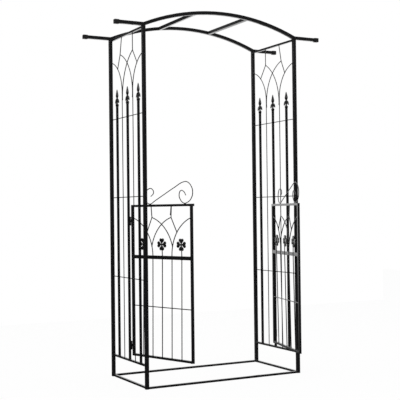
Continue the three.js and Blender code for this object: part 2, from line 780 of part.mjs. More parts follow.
function makeLeaf(name, side, openAngle, railOverrun) {
  const leaf = new THREE.Group();
  const dir = -side;
  const middleX = dir * (stileX + leafHalf);
  const bottom = gateBottomHeight - gateSize / 2;
  const stileLength = gateTopUnder - weldGap - bottom;
  const stiles = { hinge: stileX, free: stileX + leafSpan };
  for (const [stileName, x] of Object.entries(stiles)) {
    addMesh(leaf, `${name}_${stileName}_stile`, gateBar(stileLength), blackCoat(), [dir * x, leafY, bottom]);
  }
  const outer = stileX - gateSize / 2;
  const inner = stileX + leafSpan + gateSize / 2 + railOverrun;
  const flange = plugFlange + weldGap;
  const railLength = inner - outer - 2 * flange;
  const railStart = dir > 0 ? outer + flange : -(inner - flange);
  addMesh(leaf, `${name}_top_rail`, gateBar(railLength), blackCoat(), [railStart, leafY, gateTopHeight], alongX);
  const plugs = { outer: [outer + plugFlange, -dir], inner: [inner - plugFlange, dir] };
  for (const [plugName, [x, facing]] of Object.entries(plugs)) {
    const turn = [0, (facing * Math.PI) / 2, 0];
    const place = [dir * x, leafY, gateTopHeight];
    addMesh(leaf, `${name}_${plugName}_rail_plug`, makePlug(), blackPlastic(), place, turn);
  }
  const bottomLength = leafClear - 2 * weldGap;
  const bottomPlace = [middleX - bottomLength / 2, leafY, gateBottomHeight];
  addMesh(leaf, `${name}_bottom_rail`, gateBar(bottomLength), blackCoat(), bottomPlace, alongX);
  const middlePlace = [middleX, leafY, gateMiddleHeight];
  addMesh(leaf, `${name}_middle_rail`, makeMiddleRail(), blackCoat(), middlePlace, alongX);
  addMesh(leaf, `${name}_tracery`, makeGateTracery(dir), blackCoat(), [middleX, leafY, 0]);
  const crestPlace = [dir * (stileX + crestStart), leafY, gateTopOver + weldGap + crestWire / 2];
  addMesh(leaf, `${name}_crest`, makeCrest(dir), blackCoat(), crestPlace);
  for (const [hingeName, z] of Object.entries(hinges)) {
    const hingeZ = z + hingeHeight / 2;
    const moving = [0, dir > 0 ? 0 : Math.PI, 0];
    const fixed = [0, side > 0 ? 0 : Math.PI, 0];
    addMesh(leaf, `${name}_${hingeName}_moving_hinge`, makeMovingHinge(), blackCoat(), [0, 0, hingeZ], moving);
    const pin = [side * pinX, pinY, hingeZ];
    addMesh(arch, `${name}_${hingeName}_fixed_hinge`, makeFixedHinge(), blackCoat(), pin, fixed);
  }
  leaf.position.set(side * pinX, pinY, 0);
  leaf.rotation.z = side * THREE.MathUtils.degToRad(openAngle);
  arch.add(leaf);
}

makeLeaf('left_gate', sides.left, leftOpenAngle, leftRailOverrun);
makeLeaf('right_gate', sides.right, rightOpenAngle, 0);

arch.position.set(postX, postY, 0);
const gardenArch = new THREE.Group();
gardenArch.add(arch);

export default gardenArch;
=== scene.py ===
# Garden arch with gate: the coat, the welds, the castings and the fixings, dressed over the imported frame
import itertools
import json
import math

import bmesh
import bpy
from mathutils import Matrix, Vector


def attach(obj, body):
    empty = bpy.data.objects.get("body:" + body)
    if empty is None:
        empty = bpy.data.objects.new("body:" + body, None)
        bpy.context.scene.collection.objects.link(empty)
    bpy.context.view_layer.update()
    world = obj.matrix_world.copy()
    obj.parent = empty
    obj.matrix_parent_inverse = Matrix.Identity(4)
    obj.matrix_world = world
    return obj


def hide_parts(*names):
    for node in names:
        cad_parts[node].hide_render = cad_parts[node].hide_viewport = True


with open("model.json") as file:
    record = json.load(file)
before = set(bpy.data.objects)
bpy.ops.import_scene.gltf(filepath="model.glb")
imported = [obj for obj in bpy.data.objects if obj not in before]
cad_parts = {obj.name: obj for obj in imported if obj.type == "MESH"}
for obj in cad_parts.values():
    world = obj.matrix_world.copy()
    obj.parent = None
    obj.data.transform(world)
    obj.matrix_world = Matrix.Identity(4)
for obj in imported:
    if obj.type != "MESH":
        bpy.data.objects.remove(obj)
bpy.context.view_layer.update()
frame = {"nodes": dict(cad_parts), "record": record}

mm = 0.001

# camera

cameraSettings = {
    "place": (-2.0144, -4.4543, 0.9393),
    "yaw": 27.780,  # degrees to the right of the walkway's own direction
    "tilt": 0.807,  # upwards
    "roll": -0.650,
    "lens": 82.02,
    "sensor": 36.0,
}


def addCamera():
    turn = Matrix.Rotation(-math.radians(cameraSettings["yaw"]), 4, "Z")
    lift = Matrix.Rotation(math.radians(90 + cameraSettings["tilt"]), 4, "X")
    lean = Matrix.Rotation(math.radians(cameraSettings["roll"]), 4, "Z")
    bpy.ops.object.camera_add(location=cameraSettings["place"], rotation=(turn @ lift @ lean).to_euler())
    camera = bpy.context.object
    camera.name = "photoCamera"
    camera.data.lens = cameraSettings["lens"]
    camera.data.sensor_width = cameraSettings["sensor"]
    bpy.context.scene.camera = camera


def selectOnly(*objects):
    bpy.ops.object.select_all(action="DESELECT")
    for item in objects:
        item.select_set(True)
    bpy.context.view_layer.objects.active = objects[0]


bpy.ops.object.select_all(action="DESELECT")
addCamera()
bpy.context.scene.view_settings.view_transform = "Standard"
print("camera set")

# shared effects, as node groups with named sockets

effectSettings = {
    "peelDetail": 2.0,
    "peelRoughness": 0.45,
    "patchDetail": 4.0,
    "speckDetail": 3.0,
}


def newGroup(name, inputs, outputs):
    group = bpy.data.node_groups.new(name, "ShaderNodeTree")
    for socketName in inputs:
        group.interface.new_socket(name=socketName, in_out="INPUT", socket_type="NodeSocketFloat")
    for socketName in outputs:
        group.interface.new_socket(name=socketName, in_out="OUTPUT", socket_type="NodeSocketFloat")
    return group, group.nodes.new("NodeGroupInput"), group.nodes.new("NodeGroupOutput")


def mathNode(nodes, operation, second=0.0):
    node = nodes.new("ShaderNodeMath")
    node.operation = operation
    node.inputs[1].default_value = second
    return node


# fine orange peel of a baked powder coat: a height and a mask of slow patches
def buildCoatGrain():
    group, enter, leave = newGroup("coatGrain", ["Scale", "Patch scale"], ["Height", "Patches"])
    place = group.nodes.new("ShaderNodeTexCoord")
    peel = group.nodes.new("ShaderNodeTexNoise")
    peel.inputs["Detail"].default_value = effectSettings["peelDetail"]
    peel.inputs["Roughness"].default_value = effectSettings["peelRoughness"]
    slow = group.nodes.new("ShaderNodeTexNoise")
    slow.inputs["Detail"].default_value = effectSettings["patchDetail"]
    link = group.links.new
    link(place.outputs["Object"], peel.inputs["Vector"])
    link(place.outputs["Object"], slow.inputs["Vector"])
    link(enter.outputs["Scale"], peel.inputs["Scale"])
    link(enter.outputs["Patch scale"], slow.inputs["Scale"])
    link(peel.outputs["Fac"], leave.inputs["Height"])
    link(slow.outputs["Fac"], leave.inputs["Patches"])
    return group


# settled dust: a mask that is strongest on faces that look up, broken by a fine noise
def buildSettledDust():
    group, enter, leave = newGroup("settledDust", ["Amount", "Speck scale"], ["Mask"])
    shape = group.nodes.new("ShaderNodeNewGeometry")
    split = group.nodes.new("ShaderNodeSeparateXYZ")
    place = group.nodes.new("ShaderNodeTexCoord")
    specks = group.nodes.new("ShaderNodeTexNoise")
    specks.inputs["Detail"].default_value = effectSettings["speckDetail"]
    facing = mathNode(group.nodes, "MAXIMUM")
    broken = mathNode(group.nodes, "MULTIPLY")
    scaled = mathNode(group.nodes, "MULTIPLY")
    link = group.links.new
    link(shape.outputs["Normal"], split.inputs["Vector"])
    link(split.outputs["Z"], facing.inputs[0])
    link(place.outputs["Object"], specks.inputs["Vector"])
    link(enter.outputs["Speck scale"], specks.inputs["Scale"])
    link(facing.outputs[0], broken.inputs[0])
    link(specks.outputs["Fac"], broken.inputs[1])
    link(broken.outputs[0], scaled.inputs[0])
    link(enter.outputs["Amount"], scaled.inputs[1])
    link(scaled.outputs[0], leave.inputs["Mask"])
    return group


# worn corners with a painted edge highlight: a mask from how far the surface bulges, which lightens the coat on
# convex edges
def buildCornerWearAndHighlight():
    group, enter, leave = newGroup("cornerWearAndHighlight", ["Start", "End"], ["Mask"])
    shape = group.nodes.new("ShaderNodeNewGeometry")
    ramp = group.nodes.new("ShaderNodeMapRange")
    link = group.links.new
    link(shape.outputs["Pointiness"], ramp.inputs["Value"])
    link(enter.outputs["Start"], ramp.inputs["From Min"])
    link(enter.outputs["End"], ramp.inputs["From Max"])
    link(ramp.outputs["Result"], leave.inputs["Mask"])
    return group


sharedGroups = {
    "coatGrain": buildCoatGrain(),
    "settledDust": buildSettledDust(),
    "cornerWearAndHighlight": buildCornerWearAndHighlight(),
}

# materials

# in each finish, the lighter corner colour is worn coat and a painted edge highlight together
coatSettings = {
    "coat": (0.0042, 0.0042, 0.0047, 1),
    "dust": (0.05, 0.05, 0.048, 1),
    "wearAndHighlight": (0.008, 0.008, 0.009, 1),
    "wearHighlightFrom": 0.53,  # how sharply a corner bulges
    "wearHighlightTo": 0.66,
    "dustAmount": 0.06,
    "speckScale": 260.0,
    "peelScale": 1100.0,
    "peelBump": 0.08,
    "peelDistance": 0.0001,
    "patchScale": 7.0,
    "roughFrom": 0.24,
    "roughTo": 0.34,
    "specular": 0.5,
    "gloss": 1.0,
    "glossRoughness": 0.12,
}
weldSettings = {
    "coat": (0.0045, 0.0045, 0.005, 1),
    "dust": (0.05, 0.05, 0.048, 1),
    "wearAndHighlight": (0.012, 0.012, 0.013, 1),
    "wearHighlightFrom": 0.53,
    "wearHighlightTo": 0.66,
    "dustAmount": 0.1,
    "speckScale": 260.0,
    "peelScale": 420.0,
    "peelBump": 0.2,
    "peelDistance": 0.0003,
    "patchScale": 30.0,
    "roughFrom": 0.34,
    "roughTo": 0.48,
    "specular": 0.5,
    "gloss": 1.0,
    "glossRoughness": 0.12,
}
castSettings = {
    "coat": (0.0045, 0.0045, 0.005, 1),
    "dust": (0.055, 0.055, 0.053, 1),
    "wearAndHighlight": (0.014, 0.014, 0.015, 1),
    "wearHighlightFrom": 0.53,
    "wearHighlightTo": 0.66,
    "dustAmount": 0.1,
    "speckScale": 260.0,
    "peelScale": 620.0,
    "peelBump": 0.15,
    "peelDistance": 0.00025,
    "patchScale": 26.0,
    "roughFrom": 0.36,
    "roughTo": 0.52,
    "specular": 0.5,
    "gloss": 1.0,
    "glossRoughness": 0.12,
}
plasticSettings = {
    "coat": (0.006, 0.006, 0.0065, 1),
    "dust": (0.06, 0.06, 0.058, 1),
    "wearAndHighlight": (0.014, 0.014, 0.015, 1),
    "wearHighlightFrom": 0.53,
    "wearHighlightTo": 0.66,
    "dustAmount": 0.1,
    "speckScale": 260.0,
    "peelScale": 1900.0,
    "peelBump": 0.15,
    "peelDistance": 0.00008,
    "patchScale": 14.0,
    "roughFrom": 0.46,
    "roughTo": 0.6,
    "specular": 0.45,
    "gloss": 0.3,
    "glossRoughness": 0.25,
}
steelSettings = {
    "coat": (0.007, 0.007, 0.0075, 1),
    "dust": (0.06, 0.06, 0.058, 1),
    "wearAndHighlight": (0.03, 0.03, 0.031, 1),
    "wearHighlightFrom": 0.53,
    "wearHighlightTo": 0.66,
    "dustAmount": 0.08,
    "speckScale": 260.0,
    "peelScale": 2200.0,
    "peelBump": 0.15,
    "peelDistance": 0.00006,
    "patchScale": 60.0,
    "roughFrom": 0.24,
    "roughTo": 0.36,
    "specular": 0.5,
    "gloss": 1.0,
    "glossRoughness": 0.12,
}


def groupNode(nodes, name, values):
    node = nodes.new("ShaderNodeGroup")
    node.node_tree = sharedGroups[name]
    for socketName, value in values.items():
        node.inputs[socketName].default_value = value
    return node


def mixColour(nodes, links, mask, first, second):
    node = nodes.new("ShaderNodeMix")
    node.data_type = "RGBA"
    links.new(mask, node.inputs["Factor"])
    for socketName, value in (("A", first), ("B", second)):
        socket = next(s for s in node.inputs if s.name == socketName and s.type == "RGBA")
        if isinstance(value, bpy.types.NodeSocket):
            links.new(value, socket)
        else:
            socket.default_value = value
    return next(s for s in node.outputs if s.type == "RGBA")


def paintedMaterial(name, look):
    material = bpy.data.materials.new(name)
    material.use_nodes = True
    nodes = material.node_tree.nodes
    links = material.node_tree.links
    shader = nodes["Principled BSDF"]
    shader.inputs["Specular IOR Level"].default_value = look["specular"]
    shader.inputs["Coat Weight"].default_value = look["gloss"]
    shader.inputs["Coat Roughness"].default_value = look["glossRoughness"]
    grain = groupNode(nodes, "coatGrain", {"Scale": look["peelScale"], "Patch scale": look["patchScale"]})
    dust = groupNode(nodes, "settledDust", {"Amount": look["dustAmount"], "Speck scale": look["speckScale"]})
    # convex corners get the lighter colour, which is wear and a painted edge highlight
    wearAndHighlight = groupNode(nodes, "cornerWearAndHighlight", {"Start": look["wearHighlightFrom"], "End": look["wearHighlightTo"]})
    wornAndHighlit = mixColour(nodes, links, wearAndHighlight.outputs["Mask"], look["coat"], look["wearAndHighlight"])
    dusty = mixColour(nodes, links, dust.outputs["Mask"], wornAndHighlit, look["dust"])
    links.new(dusty, shader.inputs["Base Color"])
    rough = nodes.new("ShaderNodeMapRange")
    rough.inputs["To Min"].default_value = look["roughFrom"]
    rough.inputs["To Max"].default_value = look["roughTo"]
    links.new(grain.outputs["Patches"], rough.inputs["Value"])
    links.new(rough.outputs["Result"], shader.inputs["Roughness"])
    bump = nodes.new("ShaderNodeBump")
    bump.inputs["Strength"].default_value = look["peelBump"]
    bump.inputs["Distance"].default_value = look["peelDistance"]
    links.new(grain.outputs["Height"], bump.inputs["Height"])
    links.new(bump.outputs["Normal"], shader.inputs["Normal"])
    return material


materials = {
    "tubeCoat": paintedMaterial("tubeCoat", coatSettings),
    "weldCoat": paintedMaterial("weldCoat", weldSettings),
    "castCoat": paintedMaterial("castCoat", castSettings),
    "capPlastic": paintedMaterial("capPlastic", plasticSettings),
    "screwCoat": paintedMaterial("screwCoat", steelSettings),
}
print("materials built:", len(materials))


def dress(piece, materialName):
    piece.data.materials.clear()
    piece.data.materials.append(materials[materialName])


# The frame's own tubes, caps and plugs: a merged copy of each, smoothed by angle

smoothSettings = {
    "mergeDistance": 0.00002,
    "flatAngle": 0.5,  # degrees
    "smoothAngle": 50.0,
}

bodies = frame["record"]["behaviour"]["bodies"]
bodyOf = {member: bodyName for bodyName, members in bodies.items() for member in members}


def slotFor(node):
    return "black_plastic" if node.endswith(("_end_cap", "_rail_plug")) else "black_coat"


def finishPiece(piece, name, body, materialName, replaced=()):
    piece.name = name
    dress(piece, materialName)
    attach(piece, body)
    if replaced:
        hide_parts(*replaced)


def smoothCopy(node):
    source = frame["nodes"][node]
    piece = source.copy()
    piece.data = source.data.copy()
    piece.parent = None
    for key in list(piece.keys()):
        if key.startswith("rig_"):
            del piece[key]
    bpy.context.collection.objects.link(piece)
    selectOnly(piece)
    bpy.ops.mesh.customdata_custom_splitnormals_clear()
    bpy.ops.object.mode_set(mode="EDIT")
    bpy.ops.mesh.select_all(action="SELECT")
    bpy.ops.mesh.remove_doubles(threshold=smoothSettings["mergeDistance"])
    bpy.ops.mesh.dissolve_limited(angle_limit=math.radians(smoothSettings["flatAngle"]))
    bpy.ops.object.mode_set(mode="OBJECT")
    bpy.ops.object.shade_smooth_by_angle(angle=math.radians(smoothSettings["smoothAngle"]))
    return piece


def weightNormals(piece):
    selectOnly(piece)
    modifier = piece.modifiers.new("weightNormals", "WEIGHTED_NORMAL")
    modifier.keep_sharp = True
    bpy.ops.object.modifier_apply(modifier=modifier.name)


madeByHand = ("_tracery", "_crest", "_finial")
plainNodes = [node for node in sorted(frame["nodes"]) if not node.endswith(madeByHand)]
for node in plainNodes:
    piece = smoothCopy(node)
    weightNormals(piece)
    slot = slotFor(node)
    finish = "capPlastic" if slot == "black_plastic" else "tubeCoat"
    finishPiece(piece, node + "_finished", bodyOf[node], finish, [node])
print("tubes and caps finished:", len(plainNodes))

# Wire, weld and plate work: a disc, ball or block is added where it belongs and shaped in edit mode

makingSettings = {
    "blankSides": 3,  # of the small circle that starts a piece and is deleted at once
    "wireSides": 12,
    "arcStep": 5.0,  # degrees between two rings of a bent wire
    "fewestSteps": 4,
    "bead": (10, 6),  # segments and rings
    "ball": (20, 12),
    "unevenness": 0.06,  # of a bead, as a share of its size
    "filletClear": 0.2 * mm,  # a fillet's top is this much wider than its tube
    "sameWay": 0.9,  # cosine between a face and the way it is sought
    "plateRounding": 2,
    "scrollRounding": 4,
    "smooth": {"wire": 50.0, "weld": 35.0, "plate": 38.0, "turned": 45.0, "fillet": 25.0, "screw": 40.0},  # degrees
}
archMiddle = (0.483, 0.233)
sides = {"left": -1, "right": 1}
spearPlaces = (-0.149, 0.0, 0.149)  # off the middle of the depth


def startPiece(name):
    bpy.ops.object.select_all(action="DESELECT")
    bpy.ops.mesh.primitive_circle_add(vertices=makingSettings["blankSides"], radius=mm)
    piece = bpy.context.object
    piece.name = name
    bpy.ops.object.mode_set(mode="EDIT")
    bpy.ops.mesh.delete(type="VERT")
    return piece


def smoothPiece(kind):
    bpy.ops.object.shade_smooth_by_angle(angle=math.radians(makingSettings["smooth"][kind]))


def closePiece(kind):
    bpy.ops.mesh.select_all(action="SELECT")
    bpy.ops.mesh.normals_make_consistent(inside=False)
    bpy.ops.object.mode_set(mode="OBJECT")
    smoothPiece(kind)


# the curve at hand made a mesh, with its seams closed
def convertCurve(name, kind):
    bpy.ops.object.convert(target="MESH")
    piece = bpy.context.object
    piece.name = name
    bpy.ops.object.mode_set(mode="EDIT")
    bpy.ops.mesh.select_all(action="SELECT")
    bpy.ops.mesh.remove_doubles(threshold=smoothSettings["mergeDistance"])
    closePiece(kind)
    return piece


def addDisc(place, direction, radius):
    turn = Vector(direction).to_track_quat("Z", "Y").to_euler()
    bpy.ops.mesh.select_all(action="DESELECT")
    bpy.ops.mesh.primitive_circle_add(
        vertices=makingSettings["wireSides"], radius=radius, location=place, rotation=turn, fill_type="NGON"
    )


def addStraightWire(first, last, radius):
    run = Vector(last) - Vector(first)
    addDisc(first, run, radius)
    bpy.ops.mesh.extrude_region_move(TRANSFORM_OT_translate={"value": run})


# a wire bent in a circle through three points; spin turns the other way when there is no window
def addBentWire(first, middle, last, radius):
    a = Vector(first) - Vector(last)
    b = Vector(middle) - Vector(last)
    normal = a.cross(b)
    centre = Vector(last) + (a.length_squared * b - b.length_squared * a).cross(normal) / (2 * normal.length_squared)
    axis = (Vector(middle) - Vector(first)).cross(Vector(last) - Vector(middle)).normalized()
    arm = Vector(first) - centre
    end = Vector(last) - centre
    turn = math.atan2(arm.cross(end).dot(axis), arm.dot(end)) % (2 * math.pi)
    addDisc(first, axis.cross(arm), radius)
    steps = max(makingSettings["fewestSteps"], math.ceil(math.degrees(turn) / makingSettings["arcStep"]))
    bpy.ops.mesh.spin(steps=steps, angle=-turn, center=centre, axis=axis)


def addBall(place, size, kind="ball"):
    segments, rings = makingSettings[kind]
    bpy.ops.mesh.select_all(action="DESELECT")
    bpy.ops.mesh.primitive_uv_sphere_add(segments=segments, ring_count=rings, radius=1, location=place, scale=size)


beadSeeds = itertools.count(1)


# a small uneven blob of weld
def addBead(place, size):
    addBall(place, size, "bead")
    bpy.ops.transform.vertex_random(offset=makingSettings["unevenness"] * max(size), seed=next(beadSeeds))


def selectFaces(piece, test):
    work = bmesh.from_edit_mesh(piece.data)
    fresh = [face for face in work.faces if face.select]
    bpy.ops.mesh.select_all(action="DESELECT")
    for face in fresh:
        if test(face):
            face.select_set(True)
    bmesh.update_edit_mesh(piece.data)


# a fillet weld round the end of a square tube: wide on the wall that it runs along, narrow on the tube
def addFillet(piece, centre, facing, tube, legs, height):
    axis = max(range(3), key=lambda index: abs(facing[index]))
    across = [index for index in range(3) if index != axis]
    scale = [height, height, height]
    place = list(centre)
    ratio = [1.0, 1.0, 1.0]
    shift = [0.0, 0.0, 0.0]
    for index, width, (low, high) in zip(across, tube, legs):
        scale[index] = width + low + high
        place[index] += (high - low) / 2
        ratio[index] = (width + makingSettings["filletClear"]) / scale[index]
        shift[index] = (low - high) / 2
    place[axis] += facing[axis] * height / 2
    bpy.ops.mesh.select_all(action="DESELECT")
    bpy.ops.mesh.primitive_cube_add(size=1, location=place, scale=scale)
    selectFaces(piece, lambda face: face.normal[axis] * facing[axis] > makingSettings["sameWay"])
    top = list(place)
    top[axis] += facing[axis] * height / 2
    bpy.ops.transform.resize(value=ratio, center_override=top)
    bpy.ops.transform.translate(value=shift)


# a flat plate from a closed outline of (across, up, sharp) points, lying in XY, with rounded edges
def addPlate(name, outline, thickness, edge, steps):
    bpy.ops.object.select_all(action="DESELECT")
    bpy.ops.curve.primitive_bezier_circle_add(location=(0, 0, 0))
    curve = bpy.context.object.data
    curve.dimensions = "2D"
    curve.fill_mode = "BOTH"
    curve.resolution_u = steps
    curve.extrude = thickness / 2 - edge
    curve.bevel_depth = edge
    curve.bevel_resolution = makingSettings["plateRounding"]
    curve.offset = -edge
    spline = curve.splines[0]
    spline.bezier_points.add(len(outline) - len(spline.bezier_points))
    for point, (across, up, sharp) in zip(spline.bezier_points, outline):
        point.co = (across, up, 0)
        point.handle_left_type = "VECTOR" if sharp else "AUTO"
        point.handle_right_type = "VECTOR" if sharp else "AUTO"
    return convertCurve(name, "plate")


def setPlace(piece, matrix):
    piece.matrix_world = matrix @ piece.matrix_world
    selectOnly(piece)
    bpy.ops.object.transform_apply(location=True, rotation=True, scale=True)


def copyTo(piece, matrix):
    other = piece.copy()
    other.data = piece.data.copy()
    bpy.context.collection.objects.link(other)
    setPlace(other, matrix)
    return other


def joinPieces(pieces, name):
    selectOnly(*pieces)
    bpy.ops.object.join()
    pieces[0].name = name
    return pieces[0]


# Side panels: rods, cross wires and arcs, welded where they meet

sidePanel = {
    "plane": 0.4795,  # off the walkway's middle
    "wire": 2.5 * mm,  # radius
    "halfDepth": 0.2235,
    "pitch": 0.0745,
    "foot": 0.1300,
    "top": 1.9390,
    "crossWires": (0.57985, 1.03213, 1.48298),
    "spring": 1.62513,
    "post": 1.81329,
    "tail": 1.58514,
    "strut": 1.76703,
    "crossing": 1.78389,
    "apex": 1.84386,
    "nearApex": 0.07703,
    "farApex": 0.09901,
    "rodTop": 0.07703,
    "tailInset": 5.2 * mm,
    "bead": (3.4 * mm, 3.6 * mm, 3.4 * mm),
    "endBead": (3.6 * mm, 2.0 * mm, 3.6 * mm),
    "footBead": (3.6 * mm, 3.6 * mm, 2.0 * mm),
}


# places on a wire that leaves its rod upright and bends outwards to meet an upright wall
def bentPlaces(pitch, wall, wire, rise):
    reach = wall - pitch - wire
    radius = (reach * reach + rise * rise) / (2 * reach)
    travel = reach / (1 - wire / radius)
    height = math.sqrt(travel * (2 * radius - travel))

    def at(up):
        return pitch + radius - math.sqrt(radius * radius - up * up)

    return at, height


def makeSideTracery(side, wires, welds):
    look = sidePanel
    x = archMiddle[0] + side * look["plane"]
    wire = look["wire"]

    def place(across, up):
        return (x, archMiddle[1] + across, up)

    at, height = bentPlaces(look["pitch"], look["halfDepth"], wire, look["post"] - look["spring"])
    for up in look["crossWires"]:
        wires.append(("straight", place(-look["halfDepth"], up), place(look["halfDepth"], up)))
        for end in (-1, 1):
            welds.append((place(end * look["halfDepth"], up), look["endBead"]))
            welds.append((place(end * look["pitch"], up), look["bead"]))
    welds.append((place(0, look["crossing"]), look["bead"]))
    for end in (-1, 1):
        spring, rod = look["spring"], end * look["pitch"]
        apex = place(end * (look["nearApex"] if end == side else look["farApex"]), look["apex"])
        strutUp = look["strut"] - spring
        strutFoot = place(end * at(strutUp), look["strut"])
        tail = place(end * look["tailInset"] - rod, look["tail"])
        reach = place(end * at(height), spring + height)
        top = place(end * look["rodTop"], look["top"])
        wires.append(("straight", place(rod, look["foot"]), place(rod, spring + 2 * wire)))
        wires.append(("bent", place(rod, spring), place(end * at(height / 2), spring + height / 2), reach))
        wires.append(("bent", tail, place(0, look["crossing"]), apex))
        wires.append(("straight", apex, strutFoot))
        wires.append(("straight", apex, top))
        welds.append((place(rod, look["foot"]), look["footBead"]))
        welds.append((top, look["footBead"]))
        welds.append((reach, look["endBead"]))
        for spot in (apex, strutFoot, tail, place(rod, spring)):
            welds.append((spot, look["bead"]))


def makeWires(name, wires, radius):
    piece = startPiece(name)
    for kind, *places in wires:
        if kind == "straight":
            addStraightWire(*places, radius)
        else:
            addBentWire(*places, radius)
    closePiece("wire")
    return piece


def startBeads(name, welds):
    piece = startPiece(name)
    for place, size in welds:
        addBead(place, size)
    return piece


for sideName, side in sides.items():
    wires, welds = [], []
    makeSideTracery(side, wires, welds)
    piece = makeWires(f"{sideName}_panel_wires", wires, sidePanel["wire"])
    finishPiece(piece, piece.name, "frame", "tubeCoat", [f"{sideName}_side_tracery"])
    piece = startBeads(f"{sideName}_panel_beads", welds)
    closePiece("wire")
    finishPiece(piece, piece.name, "frame", "weldCoat")
print("side panels wired")

# Gate leaves, modelled closed along X from their pin and then swung open

gateLeaf = {
    "pin": (0.4725, -0.0093),  # off the walkway's middle, and behind the middle of the depth
    "openAngles": {"left": 70.5, "right": 76.0},
    "plane": 9.8 * mm,  # the leaf's middle plane behind the pin
    "middle": 0.2330,  # from the pin along the leaf
    "halfClear": 0.2190,
    "pitch": 0.0730,
    "rods": (-2, -1, 0, 1, 2),  # in pitches from the middle
    "cloverRods": (-2, 0, 2),
    "wire": 2.7 * mm,
    "foot": 0.1635,
    "crossWire": 0.4304,
    "bottomRail": (0.157, 0.013),  # axis and height of the tube
    "middleRail": (0.7004, 0.020),
    "footShift": -1.6 * mm,  # the wires' plane behind the leaf's, at the bottom rail
    "bow": 5.8 * mm,  # and at the middle rail, where they cross its back
    "railBead": (6.2 * mm, 3.4 * mm, 4.6 * mm),
    "railBeadRise": 7.0 * mm,
    "spring": 0.7104,
    "top": 0.9749,
    "tail": 0.7600,
    "strut": 0.8371,
    "crossing": 0.8799,
    "stile": 0.9135,
    "apex": 0.9170,
    "rodTop": 0.0774,
    "clover": 0.7710,
    "cloverAhead": 2.2 * mm,  # the clovers sit on the front of their rods
    "cloverStem": 8 * mm,  # a rod ends this far below its clover's middle
    "bead": (3.7 * mm, 3.5 * mm, 3.7 * mm),
    "endBead": (2.0 * mm, 3.8 * mm, 3.8 * mm),
    "footBead": (3.9 * mm, 3.9 * mm, 2.0 * mm),
    "size": 13 * mm,  # of the stiles, the top rail and the bottom rail
    "leg": 1.6 * mm,  # of a fillet weld
    "lapLength": 0.041,  # a second end of wire, welded beside the free side's upper rod
    "lapTopSpread": 2.2 * mm,
    "lapFootSpread": 3.2 * mm,
    "lapBead": (4.2 * mm, 3.4 * mm, 5.6 * mm),
}


def leafTurn(sideName):
    side = sides[sideName]
    across, behind = gateLeaf["pin"]
    pin = Matrix.Translation((archMiddle[0] + side * across, archMiddle[1] + behind, 0))
    return pin @ Matrix.Rotation(side * math.radians(gateLeaf["openAngles"][sideName]), 4, "Z")


# how far behind the pin the wires are: they lean back towards the middle rail, to pass behind it
def wirePlane(up):
    look = gateLeaf
    rail = look["middleRail"][0]
    end, start = (look["foot"], look["footShift"]) if up < rail else (look["top"], 0.0)
    return look["plane"] + start + (look["bow"] - start) * (up - end) / (rail - end)


def makeGateTracery(heading, wires, welds):
    look = gateLeaf
    wire = look["wire"]

    def place(across, up):
        return (heading * (look["middle"] + across), wirePlane(up), up)

    def addRod(across, last):
        rail = look["middleRail"][0]
        wires.append(("straight", place(across, look["foot"]), place(across, rail)))
        wires.append(("straight", place(across, rail), place(across, last)))
        for end in (-1, 1):
            welds.append((place(across, rail + end * look["railBeadRise"]), look["railBead"]))

    at, height = bentPlaces(look["pitch"], look["halfClear"], wire, look["stile"] - look["spring"])
    crossWire = [place(end * look["halfClear"], look["crossWire"]) for end in (-1, 1)]
    wires.append(("straight", *crossWire))
    for column in look["cloverRods"]:
        addRod(column * look["pitch"], look["clover"] - look["cloverStem"])
    for column in look["rods"]:
        rod = column * look["pitch"]
        welds.append((place(rod, look["crossWire"]), look["bead"]))
        welds.append((place(rod, look["foot"]), look["footBead"]))
    welds.append((place(0, look["crossing"]), look["bead"]))
    for end in (-1, 1):
        spring, rod = look["spring"], end * look["pitch"]
        apex = place(rod, look["apex"])
        strutFoot = place(end * at(look["strut"] - spring), look["strut"])
        tail = place(-end * at(look["tail"] - spring), look["tail"])
        reach = place(end * at(height), spring + height)
        top = place(end * look["rodTop"], look["top"])
        addRod(rod, spring + 2 * wire)
        wires.append(("bent", place(rod, spring), place(end * at(height / 2), spring + height / 2), reach))
        wires.append(("bent", tail, place(0, look["crossing"]), apex))
        wires.append(("straight", apex, strutFoot))
        wires.append(("straight", apex, top))
        welds.append((place(end * look["halfClear"], look["crossWire"]), look["endBead"]))
        welds.append((top, look["footBead"]))
        welds.append((reach, look["endBead"]))
        for spot in (apex, strutFoot, tail):
            welds.append((spot, look["bead"]))
    lapTop = place(look["rodTop"] - look["lapTopSpread"], look["top"])
    lapFoot = place(look["pitch"] - look["lapFootSpread"], look["top"] - look["lapLength"])
    wires.append(("straight", lapFoot, lapTop))
    welds.append((lapFoot, look["lapBead"]))


# The clover: four pillowed heart leaves about a domed boss, with open slits between them

cloverSettings = {
    "thickness": 6 * mm,
    "edge": 2.2 * mm,
    "steps": 6,
    # one leaf, in millimetres from the middle: across, up, sharp
    "leaf": (
        (3.2, 2.0, True),
        (3.4, 7.0, False),
        (8.4, 11.9, False),
        (14.2, 17.6, False),
        (16.8, 24.6, False),
        (8.6, 33.0, False),
        (0.0, 29.4, True),
        (-8.6, 33.0, False),
        (-16.8, 24.6, False),
        (-14.2, 17.6, False),
        (-8.4, 11.9, False),
        (-3.4, 7.0, False),
        (-3.2, 2.0, True),
    ),
    "boss": (7.0 * mm, 7.0 * mm, 3.8 * mm),
}


def makeClover(name):
    look = cloverSettings
    outline = [(across * mm, up * mm, sharp) for across, up, sharp in look["leaf"]]
    leaf = addPlate("leaf", outline, look["thickness"], look["edge"], look["steps"])
    leaves = [copyTo(leaf, Matrix.Rotation(quarter * math.pi / 2, 4, "Z")) for quarter in range(4)]
    bpy.data.objects.remove(leaf)
    boss = startPiece("boss")
    addBall((0, 0, 0), look["boss"])
    closePiece("wire")
    return joinPieces([*leaves, boss], name)


